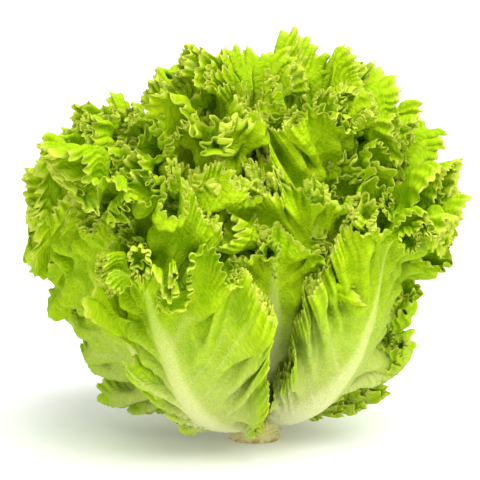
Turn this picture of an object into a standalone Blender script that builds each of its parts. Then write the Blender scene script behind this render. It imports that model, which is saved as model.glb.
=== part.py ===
"""Head of curly green leaf lettuce, standing on its cut stump.

A short tapering stem carries 28 separate leaves in a spiral. Every leaf is a
broad spoon with a thick rib at its foot, and the leaves are nested from the
large spreading ones outside to the small upright ones in the heart. The stump
ends in a flat cut face at z = 0, centred on the origin. The front is -Y.

Lengths below are in millimetres and angles in degrees unless a name says so.
"""
import bpy
import bmesh
import numpy as np
from math import pi, radians, sin, cos
from mathutils import Vector

# ------------------------------------------------------------------ dimensions
MM = 0.001
STUMP_RADIUS = 16.4            # cut face
STUMP_NECK_RADIUS = 16.0       # just below the lowest leaves
STUMP_NECK_HEIGHT = 8.0
STEM_SINK = 0.35               # how far the stem surface stays inside the leaf feet
STEM_SEGMENTS = 28

LEAF_COUNT = 28
HEART_RADIUS = 33.0            # heart leaves are no narrower than this allows
LEAF_COLUMNS = 22              # steps round the margin
LEAF_ROWS = (0.0, 0.10, 0.30, 0.58, 0.82, 1.0)   # midrib to margin
BLADE_THICKNESS = 0.90
RIB_THICKNESS = 3.4
ROLL_STEPS = 16
PLAIN_ROLL = 0.36              # share of the roll that these plain leaves take
LEAF_FOOT_GAP = 0.9            # foot of a leaf above the line where it springs from the stem

FIRST_AZIMUTH = -30.0          # 0 is the front, positive turns to +X
GOLDEN_ANGLE = 137.508
OUTER_AZIMUTHS = (-27, 108, -88, 50, 172, -138, 84, -60, 12, 140, -104, 34, -170, -36, 100, -120)

LEAN_X = -8.5                  # the head leans a little to its left
LEAN_HEIGHT = 45.0
RIGHT_TUCK, LEFT_TUCK = 0.11, 0.06   # the sides grow closer in
SWELL = 1.9                    # unevenness of the whole head

# The head is a family of nested layers, 0 at the heart and 1 outside.
LAYER = (-0.1, 0.0, 0.2, 0.5, 0.8, 1.0, 1.1)
FOOT_RADIUS = (0.4, 1.5, 6.0, 10.5, 14.5, 16.8, 17.8)
FOOT_HEIGHT = (71, 66, 52, 36, 20.5, 11.0, 7.0)
LEAF_LENGTH = (186, 192, 208, 222, 214, 191, 183)
# Lean of a leaf from upright at these shares of its length, one row per layer.
SHARE = (0, .15, .30, .45, .60, .75, .90, 1.05, 1.30)
LEAN_ALL = ((8, 6, 2, -2, -6, -2, 16, 42, 66),
            (12, 10, 6, 2, -3, 3, 26, 54, 80),
            (34, 31, 20, 8, 1, 6, 38, 74, 98),
            (55, 49, 33, 17, 7, 10, 46, 82, 106),
            (74, 67, 49, 30, 16, 14, 46, 84, 110),
            (88, 85, 66, 42, 24, 17, 44, 86, 116),
            (94, 91, 74, 50, 31, 24, 50, 92, 122))
# The same on the front side, where the tips turn right over.
LEAN_FRONT = ((8, 6, 2, -2, -6, -2, 16, 42, 66),
              (12, 10, 6, 2, -3, 3, 26, 54, 80),
              (34, 31, 20, 8, 1, 6, 42, 80, 108),
              (55, 49, 33, 16, 4, 9, 54, 100, 130),
              (74, 67, 48, 28, 11, 12, 66, 118, 150),
              (86, 82, 65, 40, 17, 15, 74, 132, 166),
              (92, 88, 73, 48, 24, 22, 80, 138, 172))
FRONT_AZIMUTH, FRONT_WIDTH = -12.0, 62.0

# What single leaves have of their own: half widths as shares, length, and a tip that rolls outward.
LEAF_CHANGES = {
    0: dict(azimuth=-21, lean=-8.0, spread=45, room=1.35, length=1.02, left=0.30, right=0.74, roll=0.0, rib=16.0),
    1: dict(azimuth=122, length=0.91, left=0.85),
    2: dict(azimuth=-47, length=0.89, left=1.25, right=0.50, roll=0.6),
    3: dict(azimuth=42, lean=15.0, spread=42, room=1.25, length=0.96, left=0.64, right=1.30),
    7: dict(azimuth=-48, roll=0.45),
    8: dict(azimuth=14, spread=38, length=0.63, roll=0.7, roll_from=0.72, rib=18.0),
    10: dict(azimuth=-94, length=0.94),
    11: dict(length=0.74, roll=0.5, roll_from=0.72),
    13: dict(length=0.76, roll=0.45, roll_from=0.70),
    14: dict(length=0.93),
    15: dict(length=0.99, roll=0.5),
    16: dict(length=0.71, roll=0.5, roll_from=0.70),
    17: dict(length=1.05, roll=0.4),
    18: dict(length=0.86, roll=0.5),
    19: dict(length=0.94, roll=0.4),
    20: dict(length=1.00, roll=0.3),
    21: dict(length=0.84, roll=0.4),
    22: dict(length=1.01, roll=0.3),
    23: dict(length=0.94, roll=0.4),
    24: dict(length=0.80, roll=0.3, roll_from=0.72),
    25: dict(length=1.02, roll=0.2),
    26: dict(azimuth=-62, length=1.04, roll=0.3),
    27: dict(length=0.97, roll=0.4),
}

# Half outline of a leaf: shares of its half width and of its length, foot to
# tip, and the point of the midrib each margin point is joined to.
OUTLINE_ACROSS = (0.175, 0.235, 0.40, 0.63, 0.87, 1.00, 0.96, 0.76, 0.42, 0.0)
OUTLINE_ALONG = (0.0, 0.07, 0.17, 0.32, 0.48, 0.66, 0.82, 0.93, 0.985, 1.0)
MIDRIB_ALONG = (0.0, 0.015, 0.05, 0.13, 0.24, 0.38, 0.53, 0.66, 0.76, 0.80)

GREENS = ((0.305, 0.520, 0.030), (0.345, 0.565, 0.035), (0.390, 0.610, 0.050))   # outer, middle, heart
STEM_COLOUR = (0.640, 0.640, 0.260)


# ------------------------------------------------------------------ small maths
def smooth(x):
    x = np.clip(x, 0.0, 1.0)
    return x * x * (3 - 2 * x)


def wrap(angle):
    return (angle + pi) % (2 * pi) - pi


def through(xs, ys, x):
    """Smooth curve through points, without overshoot."""
    xs, ys, x = (np.asarray(t, float) for t in (xs, ys, x))
    h = np.diff(xs)
    d = np.diff(ys) / h
    m = np.zeros_like(ys)
    w1, w2 = 2 * h[1:] + h[:-1], 2 * h[1:] + h[:-1]
    w2 = h[1:] + 2 * h[:-1]
    with np.errstate(divide="ignore", invalid="ignore"):
        mean = (w1 + w2) / (w1 / d[:-1] + w2 / d[1:])
    m[1:-1] = np.where(d[:-1] * d[1:] > 0, mean, 0.0)
    m[0], m[-1] = d[0], d[-1]
    i = np.clip(np.searchsorted(xs, x) - 1, 0, len(h) - 1)
    t = (np.clip(x, xs[0], xs[-1]) - xs[i]) / h[i]
    return ((2 * t**3 - 3 * t**2 + 1) * ys[i] + (t**3 - 2 * t**2 + t) * h[i] * m[i]
            + (3 * t**2 - 2 * t**3) * ys[i + 1] + (t**3 - t**2) * h[i] * m[i + 1])


# ------------------------------------------------------------------ the layers
SHARES = np.linspace(0, 1.3, 260)
LAYERS = np.linspace(-0.1, 1.1, 241)
LENGTHS = through(LAYER, LEAF_LENGTH, LAYERS)


def layer_table(lean):
    """Radius, height and spacing of every layer, by share of leaf length."""
    rows = np.stack([through(SHARE, row, SHARES) for row in lean])
    angle = np.radians(np.stack([through(LAYER, rows[:, k], LAYERS) for k in range(len(SHARES))]))
    step = SHARES[1] - SHARES[0]
    out, up = np.sin(angle) * LENGTHS, np.cos(angle) * LENGTHS
    zero = np.zeros(len(LAYERS))
    r = through(LAYER, FOOT_RADIUS, LAYERS) + np.vstack([zero, np.cumsum((out[1:] + out[:-1]) / 2 * step, 0)])
    z = through(LAYER, FOOT_HEIGHT, LAYERS) + np.vstack([zero, np.cumsum((up[1:] + up[:-1]) / 2 * step, 0)])
    gap = LAYERS[1] - LAYERS[0]
    spacing = np.gradient(r, gap, axis=1) * np.cos(angle) - np.gradient(z, gap, axis=1) * np.sin(angle)
    return r, z, spacing


TABLE_ALL, TABLE_FRONT = layer_table(LEAN_ALL), layer_table(LEAN_FRONT)


def read(table, share, layer):
    fi = np.clip(share / 1.3 * (len(SHARES) - 1), 0, len(SHARES) - 1.001)
    fj = np.clip((layer + 0.1) / 1.2 * (len(LAYERS) - 1), 0, len(LAYERS) - 1.001)
    i, j = fi.astype(int), fj.astype(int)
    a, b = fi - i, fj - j
    return (table[i, j] * (1 - a) * (1 - b) + table[i + 1, j] * a * (1 - b)
            + table[i, j + 1] * (1 - a) * b + table[i + 1, j + 1] * a * b)


def front_share(azimuth):
    return np.exp(-(wrap(azimuth - radians(FRONT_AZIMUTH)) / radians(FRONT_WIDTH)) ** 2)


def tuck(azimuth, share):
    return (RIGHT_TUCK * np.exp(-(wrap(azimuth - radians(85)) / radians(48)) ** 2)
            + LEFT_TUCK * np.exp(-(wrap(azimuth + radians(86)) / radians(40)) ** 2)) * smooth(share / 0.7)


def value(k, azimuth, along, layer, tucked=True):
    share = along / np.interp(layer, LAYERS, LENGTHS)
    f = front_share(azimuth)
    if tucked:
        layer = layer * (1 - tuck(azimuth, share))
    return read(TABLE_ALL[k], share, layer) * (1 - f) + read(TABLE_FRONT[k], share, layer) * f


_rng = np.random.default_rng(11)
_fine = [_rng.integers(13, 27, 26), _rng.uniform(-1, 1, 26), _rng.uniform(-9, 9, 26), _rng.uniform(0, 2 * pi, 26), _rng.uniform(.5, 1, 26)]
UNDULATIONS = list(zip(_rng.integers(1, 7, 14), _rng.uniform(-2 * pi / 150, 2 * pi / 150, 14), _rng.uniform(-4, 4, 14),
                       _rng.uniform(0, 2 * pi, 14), _rng.uniform(0.5, 1, 14)))
SWELLS = [(_rng.normal(size=3), _rng.uniform(0, 2 * pi), _rng.normal(size=3)) for _ in range(10)]


def uneven(azimuth, along, layer):
    total = 0.0
    for turns, kh, kl, phase, size in UNDULATIONS:
        total = total + size * np.sin(turns * azimuth + kh * along + kl * layer + phase)
    return total / np.sqrt(sum(w[4] ** 2 for w in UNDULATIONS) / 2)


def bend(points):
    """Slow swell of the head and its lean, both fading out at the stump."""
    fade = smooth((points[..., 2] - 14) / 90.0)[..., None]
    shift = 0
    for k, phase, way in SWELLS:
        k = k / np.linalg.norm(k) * 2 * pi / 230.0
        shift = shift + np.sin(points @ k + phase)[..., None] * way
    out = points + shift * SWELL * fade
    out[..., 0] += LEAN_X * smooth(points[..., 2] / LEAN_HEIGHT)
    return out


def place(azimuth, along, layer):
    """A point of the head by azimuth, distance up the leaf and layer. The map is one to one."""
    share = along / np.interp(layer, LAYERS, LENGTHS)
    f = front_share(azimuth)
    gap = read(TABLE_ALL[2], share, layer) * (1 - f) + read(TABLE_FRONT[2], share, layer) * f
    shift = uneven(azimuth, along, layer) * 4.5 * smooth((share - 0.48) / 0.45)
    layer = layer * (1 - tuck(azimuth, share)) + shift / np.maximum(gap, 70.0)
    r = read(TABLE_ALL[0], share, layer) * (1 - f) + read(TABLE_FRONT[0], share, layer) * f
    z = read(TABLE_ALL[1], share, layer) * (1 - f) + read(TABLE_FRONT[1], share, layer) * f
    return bend(np.stack([r * np.sin(azimuth), -r * np.cos(azimuth), z], -1))


# ------------------------------------------------------------------ the leaves
def leaf_list():
    rng = np.random.default_rng(5)
    leaves = []
    for i in range(LEAF_COUNT):
        azimuth = FIRST_AZIMUTH + GOLDEN_ANGLE * i + rng.uniform(-7, 7)
        leaves.append({"azimuth": azimuth, "spread": 48 + rng.uniform(-3, 5),
                       "length": 1.0 + rng.uniform(-0.05, 0.035), "room": 1.0 + rng.uniform(-0.1, 0.15),
                       "left": 1.0, "right": 1.0, "roll": 0.62, "lean": 0.0, "roll_from": 0.76, "rib": 11.0})
    for i, azimuth in enumerate(OUTER_AZIMUTHS):
        leaves[i]["azimuth"] = azimuth
    for i, changes in LEAF_CHANGES.items():
        leaves[i].update(changes)
    return leaves


LEAVES = leaf_list()


def presence(leaf, azimuth):
    return leaf["room"] * (1 - smooth((np.abs(wrap(azimuth - radians(leaf["azimuth"]))) - radians(leaf["spread"] + 6)) / radians(24)))


def layer_of(i, azimuth):
    """Layer of leaf i at an azimuth, and half the room it has there."""
    shares = [presence(leaf, azimuth) for leaf in LEAVES]
    total = np.maximum(sum(shares), 4.0)
    own = LEAVES[i]["room"]
    return (sum(shares[i + 1:], 0 * azimuth) + 0.5 * own) / total, 0.5 * own / total


def leaf_points(i, across, along):
    """Leaf coordinates in mm (across, along) to the head."""
    leaf = LEAVES[i]
    centre = radians(leaf["azimuth"])
    own_layer = float(layer_of(i, np.array([centre]))[0][0])
    one = np.ones_like(along)
    r = np.maximum(value(0, centre * one, along, own_layer * one), 12.0)
    turn = np.maximum(np.sqrt(r**2 + (leaf["half_width"] * 0.42) ** 2 * smooth(along / 60)), 12.0)
    azimuth = centre + across / turn + radians(leaf["lean"]) * smooth((along / leaf["long"] - 0.2) / 0.8)
    layer, half = layer_of(i, azimuth)
    room = value(2, azimuth, along, layer) * half
    return place(azimuth, along, layer), room


def rolled_points(i, across, along):
    """The same with the tip of the leaf rolled outward."""
    leaf = LEAVES[i]
    start = leaf["roll_from"] * leaf["long"]
    shift = 8 * np.sin(across / 21.0 + 2.1 * i) + 4 * np.sin(across / 11.0 + 1.3 * i)
    low = np.minimum(along, start - shift)
    points, room = leaf_points(i, across, along)
    here, _ = leaf_points(i, across, low)
    point = here
    for k in range(ROLL_STEPS):
        b0 = low + (along - low) * k / ROLL_STEPS
        b1 = low + (along - low) * (k + 1) / ROLL_STEPS
        there, _ = leaf_points(i, across, b1)
        beside, _ = leaf_points(i, across + 1.0, b0)
        step = there - here
        size = np.linalg.norm(step, axis=-1, keepdims=True)
        out = np.cross(beside - here, step)
        out = out / np.maximum(np.linalg.norm(out, axis=-1, keepdims=True), 1e-9)
        x = np.clip((0.5 * (b0 + b1) - start + shift) / (leaf["long"] - start), 0, 1.15)
        angle = (leaf["roll"] * PLAIN_ROLL * x**1.4)[..., None]
        point = point + step * np.cos(angle) + out * size * np.sin(angle)
        here = there
    return point, room


def size_leaf(i):
    leaf = LEAVES[i]
    centre = radians(leaf["azimuth"])
    own_layer = float(layer_of(i, np.array([centre]))[0][0])
    leaf["long"] = float(np.interp(own_layer, LAYERS, LENGTHS)) * leaf["length"]
    r = float(value(0, np.array([centre]), np.array([0.66 * leaf["long"]]), np.array([own_layer]))[0])
    leaf["half_width"] = radians(leaf["spread"]) * max(r, HEART_RADIUS)


def make_leaf(i, name, material):
    size_leaf(i)
    leaf = LEAVES[i]
    wide, long = leaf["half_width"], leaf["long"]
    t = np.linspace(0, 1, 200)
    nodes = np.linspace(0, 1, len(OUTLINE_ACROSS))
    oa = through(nodes, OUTLINE_ACROSS, t) * wide
    ob = through(nodes, OUTLINE_ALONG, t) * long
    om = through(nodes, MIDRIB_ALONG, t) * long
    run = np.concatenate([[0], np.cumsum(np.hypot(np.diff(oa), np.diff(ob)))])
    run = run / run[-1]

    bm = bmesh.new()
    bmesh.ops.create_grid(bm, x_segments=LEAF_COLUMNS, y_segments=len(LEAF_ROWS) - 1, size=1.0)
    bm.verts.ensure_lookup_table()
    q = np.array([v.co.x for v in bm.verts])
    row = np.array([v.co.y for v in bm.verts]) * 0.5 + 0.5
    v = np.interp(row, np.linspace(0, 1, len(LEAF_ROWS)), LEAF_ROWS)
    at = 1 - np.abs(q)                                   # 0 at the foot, 1 at the tip
    ea, eb, mb = np.interp(at, run, oa), np.interp(at, run, ob), np.interp(at, run, om)
    factor = 1 + (np.where(q < 0, leaf["left"], leaf["right"]) - 1) * smooth(eb / long / 0.34)
    across = np.sign(q) * ea * factor * v**0.97
    along = mb + (eb - mb) * v**1.1
    points, room = rolled_points(i, across, np.maximum(along, LEAF_FOOT_GAP))
    for vert, p in zip(bm.verts, points):
        vert.co = Vector((p * MM).tolist())
    rib = np.exp(-(np.abs(across) / (10.5 * (1 - np.clip(along / long, 0, 1)) ** 1.6 + 1.5)) ** 2)
    thick = BLADE_THICKNESS + (RIB_THICKNESS - BLADE_THICKNESS) * rib * (1 - np.clip(along / long, 0, 1)) ** 1.3
    thick = np.clip(np.minimum(thick, room * 0.75), 0.55, None)

    mesh = bpy.data.meshes.new(name)
    bm.to_mesh(mesh)
    bm.free()
    obj = bpy.data.objects.new(name, mesh)
    bpy.context.scene.collection.objects.link(obj)
    mesh.materials.append(material)
    group = obj.vertex_groups.new(name="rib")
    low = 0.5
    for k, w in enumerate((thick - low) / (RIB_THICKNESS - low)):
        group.add([k], float(np.clip(w, 0, 1)), "REPLACE")
    weld = obj.modifiers.new("midrib", "WELD")
    weld.merge_threshold = 0.00005
    solid = obj.modifiers.new("blade", "SOLIDIFY")
    solid.thickness = RIB_THICKNESS * MM
    solid.offset = 0.0
    solid.use_even_offset = False
    solid.vertex_group = "rib"
    solid.thickness_vertex_group = low / RIB_THICKNESS
    solid.use_rim = True
    return obj


# ------------------------------------------------------------------ the stem
def make_stem(material):
    """Turned stump with a tapering core that the leaf feet surround."""
    profile = [(STUMP_RADIUS, 0.0), (STUMP_NECK_RADIUS, STUMP_NECK_HEIGHT)]
    for layer in (0.99, 0.9, 0.8, 0.65, 0.5, 0.35, 0.2, 0.1):
        profile.append((float(through(LAYER, FOOT_RADIUS, layer)) - STEM_SINK, float(through(LAYER, FOOT_HEIGHT, layer))))
    profile.append((1.1, 61.5))
    bm = bmesh.new()
    rings = []
    for r, z in profile:
        ring = bmesh.ops.create_circle(bm, cap_ends=False, segments=STEM_SEGMENTS, radius=r)["verts"]
        for vert in ring:
            vert.co.z = z
        rings.append(ring)
    for low, high in zip(rings, rings[1:]):
        edges = set()
        for ring in (low, high):
            members = set(ring)
            for vert in ring:
                edges.update(e for e in vert.link_edges if e.other_vert(vert) in members)
        bmesh.ops.bridge_loops(bm, edges=list(edges))
    for ring in (rings[0], rings[-1]):
        bmesh.ops.contextual_create(bm, geom=list(ring))
    bmesh.ops.recalc_face_normals(bm, faces=bm.faces)
    points = bend(np.array([v.co[:] for v in bm.verts]))
    for vert, p in zip(bm.verts, points):
        vert.co = Vector((p * MM).tolist())
    mesh = bpy.data.meshes.new("stem")
    bm.to_mesh(mesh)
    bm.free()
    obj = bpy.data.objects.new("stem", mesh)
    bpy.context.scene.collection.objects.link(obj)
    mesh.materials.append(material)
    return obj


def make_material(name, colour, roughness):
    material = bpy.data.materials.new(name)
    material.use_nodes = True
    shader = material.node_tree.nodes["Principled BSDF"]
    shader.inputs["Base Color"].default_value = (*colour, 1.0)
    shader.inputs["Roughness"].default_value = roughness
    shader.inputs["Metallic"].default_value = 0.0
    return material


def main():
    for obj in list(bpy.data.objects):
        bpy.data.objects.remove(obj, do_unlink=True)
    for mesh in list(bpy.data.meshes):
        bpy.data.meshes.remove(mesh)
    make_stem(make_material("cut_stem", STEM_COLOUR, 0.55))
    for i in range(LEAF_COUNT):
        zone, colour = (("outer", GREENS[0]), ("middle", GREENS[1]), ("heart", GREENS[2]))[0 if i < 9 else 1 if i < 18 else 2]
        number = i + 1 if i < 9 else i - 8 if i < 18 else i - 17
        name = "%s_leaf_%02d" % (zone, number)
        make_leaf(i, name, make_material(name + "_green", colour, 0.45))


main()
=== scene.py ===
"""Finished leaves, materials, light and camera for the head of curly green leaf lettuce.

Each leaf of the model is replaced by a closed thin leaf with its midrib, side
veins, puckered blade and frilled, toothed margin. Lengths are in millimetres
until the points are stored.
"""
import bpy
import numpy as np
from math import pi, radians, sin, cos
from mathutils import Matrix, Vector


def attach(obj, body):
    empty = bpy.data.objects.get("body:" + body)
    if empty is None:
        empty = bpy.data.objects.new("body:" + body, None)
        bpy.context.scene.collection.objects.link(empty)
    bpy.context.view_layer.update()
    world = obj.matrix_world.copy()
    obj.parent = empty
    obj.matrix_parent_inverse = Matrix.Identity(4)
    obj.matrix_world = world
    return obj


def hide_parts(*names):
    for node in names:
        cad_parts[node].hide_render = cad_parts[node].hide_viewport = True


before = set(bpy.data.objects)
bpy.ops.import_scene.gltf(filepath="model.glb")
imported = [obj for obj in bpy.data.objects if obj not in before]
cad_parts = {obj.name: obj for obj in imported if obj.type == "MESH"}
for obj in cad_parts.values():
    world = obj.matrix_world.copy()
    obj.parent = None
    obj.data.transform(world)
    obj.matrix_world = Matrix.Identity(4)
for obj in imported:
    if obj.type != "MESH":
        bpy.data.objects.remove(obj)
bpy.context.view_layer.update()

# ------------------------------------------------------------------ dimensions
MM = 0.001
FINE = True
COLUMN_STEP = 0.95 if FINE else 1.9       # mm of waved margin per mesh column
RIPPLE = 4.2                              # shared waves of the blades
ROOM = 2.4                                # how far frills may fill the room between leaves
FRILL_WIDE, FRILL_MID, FRILL_SMALL = 46.0, 20.0, 6.8      # wave lengths along the margin
FRILL_TURN = (0.82, 1.80, 1.35)           # how far each wave turns the margin, in radians
FRILL_REACH = ((85, 18), (84, 13), (24, 2.0))              # how deep each wave runs into the blade, and how deep it is full
CRUMPLE = 3.1                             # uneven bulges of the upper blade
TOOTH = 2.0
ROLL = 1.35                               # how much further the finished tips roll out
SEED = 100
VEIN_STEP = 33.0                          # main side veins along the margin

STUMP_RADIUS = 16.4            # cut face
STUMP_NECK_RADIUS = 16.0       # just below the lowest leaves
STUMP_NECK_HEIGHT = 8.0
STEM_SINK = 0.35               # how far the stem surface stays inside the leaf feet
STEM_SEGMENTS = 28

LEAF_COUNT = 28
HEART_RADIUS = 33.0            # heart leaves are no narrower than this allows
LEAF_COLUMNS = 22              # steps round the margin
LEAF_ROWS = (0.0, 0.10, 0.30, 0.58, 0.82, 1.0)   # midrib to margin
BLADE_THICKNESS = 0.90
RIB_THICKNESS = 3.4
ROLL_STEPS = 16
PLAIN_ROLL = 0.36              # share of the roll that these plain leaves take
LEAF_FOOT_GAP = 0.9            # foot of a leaf above the line where it springs from the stem

FIRST_AZIMUTH = -30.0          # 0 is the front, positive turns to +X
GOLDEN_ANGLE = 137.508
OUTER_AZIMUTHS = (-27, 108, -88, 50, 172, -138, 84, -60, 12, 140, -104, 34, -170, -36, 100, -120)

LEAN_X = -8.5                  # the head leans a little to its left
LEAN_HEIGHT = 45.0
RIGHT_TUCK, LEFT_TUCK = 0.11, 0.06   # the sides grow closer in
SWELL = 1.9                    # unevenness of the whole head

# The head is a family of nested layers, 0 at the heart and 1 outside.
LAYER = (-0.1, 0.0, 0.2, 0.5, 0.8, 1.0, 1.1)
FOOT_RADIUS = (0.4, 1.5, 6.0, 10.5, 14.5, 16.8, 17.8)
FOOT_HEIGHT = (71, 66, 52, 36, 20.5, 11.0, 7.0)
LEAF_LENGTH = (186, 192, 208, 222, 214, 191, 183)
# Lean of a leaf from upright at these shares of its length, one row per layer.
SHARE = (0, .15, .30, .45, .60, .75, .90, 1.05, 1.30)
LEAN_ALL = ((8, 6, 2, -2, -6, -2, 16, 42, 66),
            (12, 10, 6, 2, -3, 3, 26, 54, 80),
            (34, 31, 20, 8, 1, 6, 38, 74, 98),
            (55, 49, 33, 17, 7, 10, 46, 82, 106),
            (74, 67, 49, 30, 16, 14, 46, 84, 110),
            (88, 85, 66, 42, 24, 17, 44, 86, 116),
            (94, 91, 74, 50, 31, 24, 50, 92, 122))
# The same on the front side, where the tips turn right over.
LEAN_FRONT = ((8, 6, 2, -2, -6, -2, 16, 42, 66),
              (12, 10, 6, 2, -3, 3, 26, 54, 80),
              (34, 31, 20, 8, 1, 6, 42, 80, 108),
              (55, 49, 33, 16, 4, 9, 54, 100, 130),
              (74, 67, 48, 28, 11, 12, 66, 118, 150),
              (86, 82, 65, 40, 17, 15, 74, 132, 166),
              (92, 88, 73, 48, 24, 22, 80, 138, 172))
FRONT_AZIMUTH, FRONT_WIDTH = -12.0, 62.0

# What single leaves have of their own: half widths as shares, length, and a tip that rolls outward.
LEAF_CHANGES = {
    0: dict(azimuth=-21, lean=-8.0, spread=45, room=1.35, length=1.02, left=0.30, right=0.74, roll=0.0, rib=16.0),
    1: dict(azimuth=122, length=0.91, left=0.85),
    2: dict(azimuth=-47, length=0.89, left=1.25, right=0.50, roll=0.6),
    3: dict(azimuth=42, lean=15.0, spread=42, room=1.25, length=0.96, left=0.64, right=1.30),
    7: dict(azimuth=-48, roll=0.45),
    8: dict(azimuth=14, spread=38, length=0.63, roll=0.7, roll_from=0.72, rib=18.0),
    10: dict(azimuth=-94, length=0.94),
    11: dict(length=0.74, roll=0.5, roll_from=0.72),
    13: dict(length=0.76, roll=0.45, roll_from=0.70),
    14: dict(length=0.93),
    15: dict(length=0.99, roll=0.5),
    16: dict(length=0.71, roll=0.5, roll_from=0.70),
    17: dict(length=1.05, roll=0.4),
    18: dict(length=0.86, roll=0.5),
    19: dict(length=0.94, roll=0.4),
    20: dict(length=1.00, roll=0.3),
    21: dict(length=0.84, roll=0.4),
    22: dict(length=1.01, roll=0.3),
    23: dict(length=0.94, roll=0.4),
    24: dict(length=0.80, roll=0.3, roll_from=0.72),
    25: dict(length=1.02, roll=0.2),
    26: dict(azimuth=-62, length=1.04, roll=0.3),
    27: dict(length=0.97, roll=0.4),
}

# Half outline of a leaf: shares of its half width and of its length, foot to
# tip, and the point of the midrib each margin point is joined to.
OUTLINE_ACROSS = (0.175, 0.235, 0.40, 0.63, 0.87, 1.00, 0.96, 0.76, 0.42, 0.0)
OUTLINE_ALONG = (0.0, 0.07, 0.17, 0.32, 0.48, 0.66, 0.82, 0.93, 0.985, 1.0)
MIDRIB_ALONG = (0.0, 0.015, 0.05, 0.13, 0.24, 0.38, 0.53, 0.66, 0.76, 0.80)



def smooth(x):
    x = np.clip(x, 0.0, 1.0)
    return x * x * (3 - 2 * x)


def wrap(angle):
    return (angle + pi) % (2 * pi) - pi


def through(xs, ys, x):
    """Smooth curve through points, without overshoot."""
    xs, ys, x = (np.asarray(t, float) for t in (xs, ys, x))
    h = np.diff(xs)
    d = np.diff(ys) / h
    m = np.zeros_like(ys)
    w1, w2 = 2 * h[1:] + h[:-1], 2 * h[1:] + h[:-1]
    w2 = h[1:] + 2 * h[:-1]
    with np.errstate(divide="ignore", invalid="ignore"):
        mean = (w1 + w2) / (w1 / d[:-1] + w2 / d[1:])
    m[1:-1] = np.where(d[:-1] * d[1:] > 0, mean, 0.0)
    m[0], m[-1] = d[0], d[-1]
    i = np.clip(np.searchsorted(xs, x) - 1, 0, len(h) - 1)
    t = (np.clip(x, xs[0], xs[-1]) - xs[i]) / h[i]
    return ((2 * t**3 - 3 * t**2 + 1) * ys[i] + (t**3 - 2 * t**2 + t) * h[i] * m[i]
            + (3 * t**2 - 2 * t**3) * ys[i + 1] + (t**3 - t**2) * h[i] * m[i + 1])


# ------------------------------------------------------------------ the layers
SHARES = np.linspace(0, 1.3, 260)
LAYERS = np.linspace(-0.1, 1.1, 241)
LENGTHS = through(LAYER, LEAF_LENGTH, LAYERS)


def layer_table(lean):
    """Radius, height and spacing of every layer, by share of leaf length."""
    rows = np.stack([through(SHARE, row, SHARES) for row in lean])
    angle = np.radians(np.stack([through(LAYER, rows[:, k], LAYERS) for k in range(len(SHARES))]))
    step = SHARES[1] - SHARES[0]
    out, up = np.sin(angle) * LENGTHS, np.cos(angle) * LENGTHS
    zero = np.zeros(len(LAYERS))
    r = through(LAYER, FOOT_RADIUS, LAYERS) + np.vstack([zero, np.cumsum((out[1:] + out[:-1]) / 2 * step, 0)])
    z = through(LAYER, FOOT_HEIGHT, LAYERS) + np.vstack([zero, np.cumsum((up[1:] + up[:-1]) / 2 * step, 0)])
    gap = LAYERS[1] - LAYERS[0]
    spacing = np.gradient(r, gap, axis=1) * np.cos(angle) - np.gradient(z, gap, axis=1) * np.sin(angle)
    return r, z, spacing


TABLE_ALL, TABLE_FRONT = layer_table(LEAN_ALL), layer_table(LEAN_FRONT)


def read(table, share, layer):
    fi = np.clip(share / 1.3 * (len(SHARES) - 1), 0, len(SHARES) - 1.001)
    fj = np.clip((layer + 0.1) / 1.2 * (len(LAYERS) - 1), 0, len(LAYERS) - 1.001)
    i, j = fi.astype(int), fj.astype(int)
    a, b = fi - i, fj - j
    return (table[i, j] * (1 - a) * (1 - b) + table[i + 1, j] * a * (1 - b)
            + table[i, j + 1] * (1 - a) * b + table[i + 1, j + 1] * a * b)


def front_share(azimuth):
    return np.exp(-(wrap(azimuth - radians(FRONT_AZIMUTH)) / radians(FRONT_WIDTH)) ** 2)


def tuck(azimuth, share):
    return (RIGHT_TUCK * np.exp(-(wrap(azimuth - radians(85)) / radians(48)) ** 2)
            + LEFT_TUCK * np.exp(-(wrap(azimuth + radians(86)) / radians(40)) ** 2)) * smooth(share / 0.7)


def value(k, azimuth, along, layer, tucked=True):
    share = along / np.interp(layer, LAYERS, LENGTHS)
    f = front_share(azimuth)
    if tucked:
        layer = layer * (1 - tuck(azimuth, share))
    return read(TABLE_ALL[k], share, layer) * (1 - f) + read(TABLE_FRONT[k], share, layer) * f


_rng = np.random.default_rng(11)
RIPPLES = list(zip(_rng.integers(13, 27, 26), _rng.uniform(-2 * pi / 70, 2 * pi / 70, 26), _rng.uniform(-9, 9, 26),
                   _rng.uniform(0, 2 * pi, 26), _rng.uniform(.5, 1, 26)))
UNDULATIONS = list(zip(_rng.integers(1, 7, 14), _rng.uniform(-2 * pi / 150, 2 * pi / 150, 14), _rng.uniform(-4, 4, 14),
                       _rng.uniform(0, 2 * pi, 14), _rng.uniform(0.5, 1, 14)))
SWELLS = [(_rng.normal(size=3), _rng.uniform(0, 2 * pi), _rng.normal(size=3)) for _ in range(10)]


def uneven(waves, azimuth, along, layer):
    total = 0.0
    for turns, kh, kl, phase, size in waves:
        total = total + size * np.sin(turns * azimuth + kh * along + kl * layer + phase)
    return total / np.sqrt(sum(w[4] ** 2 for w in waves) / 2)


def bend(points):
    """Slow swell of the head and its lean, both fading out at the stump."""
    fade = smooth((points[..., 2] - 14) / 90.0)[..., None]
    shift = 0
    for k, phase, way in SWELLS:
        k = k / np.linalg.norm(k) * 2 * pi / 230.0
        shift = shift + np.sin(points @ k + phase)[..., None] * way
    out = points + shift * SWELL * fade
    out[..., 0] += LEAN_X * smooth(points[..., 2] / LEAN_HEIGHT)
    return out


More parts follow.
